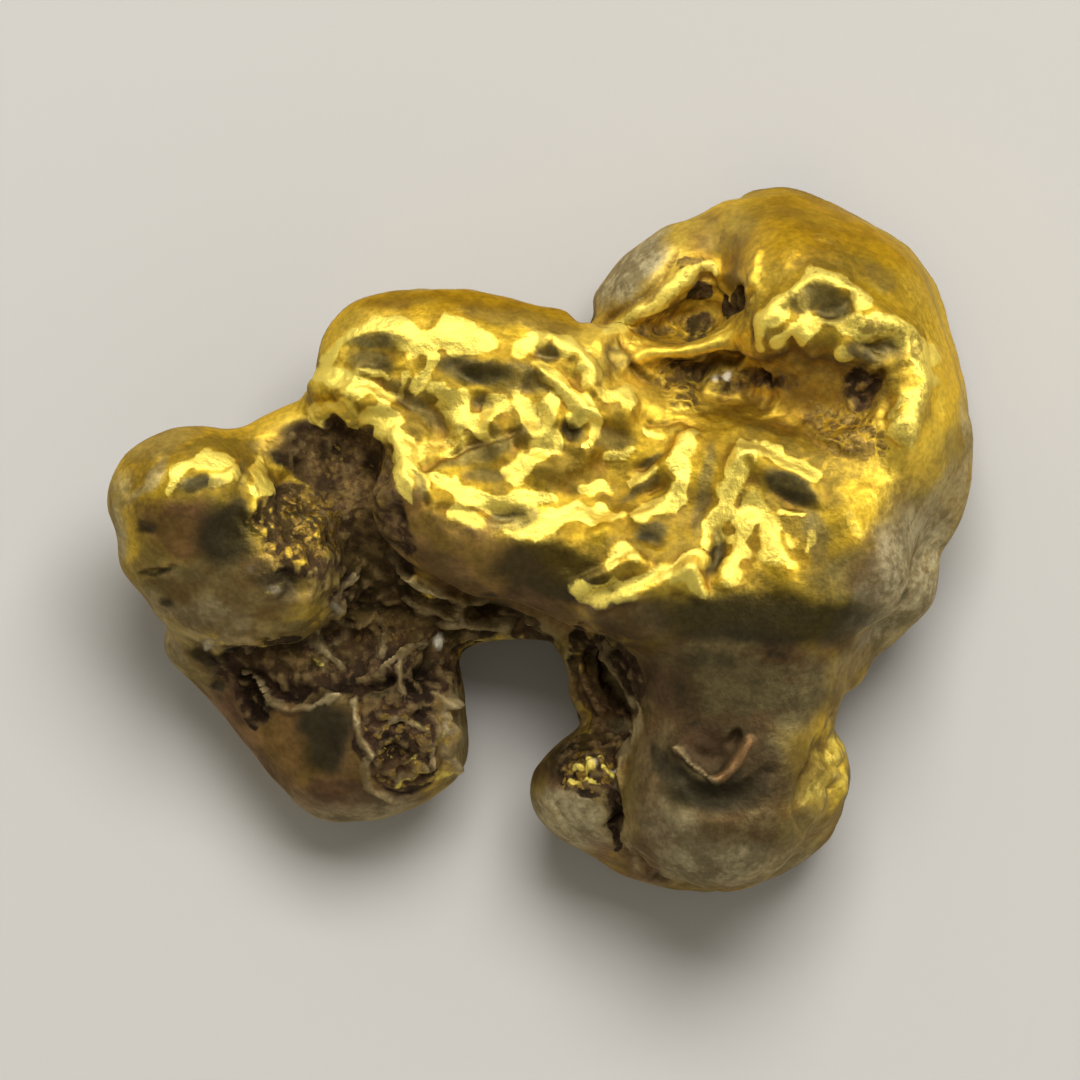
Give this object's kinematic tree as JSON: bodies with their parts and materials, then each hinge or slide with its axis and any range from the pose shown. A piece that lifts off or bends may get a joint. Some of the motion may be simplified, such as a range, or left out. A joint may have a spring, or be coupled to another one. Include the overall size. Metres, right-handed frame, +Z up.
{
  "type": "gold nugget",
  "caption": "Natural gold nugget: a knobbly rounded lump with an arch round a deep pocket, a rolled lip, a round knob and stubby legs, lying flat on worn spots on its back.",
  "frame": {"origin": "under the middle of the nugget's box, on the plane it rests on", "axes": "+X along its longest side, from the round knob to the arch; +Y towards the hump and the top of the arch, with the two legs at -Y; +Z up from the resting plane, towards the rolled lip and the front leg"},
  "size_m": [0.0258, 0.021, 0.01],
  "materials": {
    "native_gold": "water-worn native gold: glossy yellow on the raised faces, satin olive-brown on the lower lobes, dark brown dirt in the hollows"
  },
  "bodies": {
    "root": {"gold_nugget": "native_gold"}
  },
  "joints": []
}
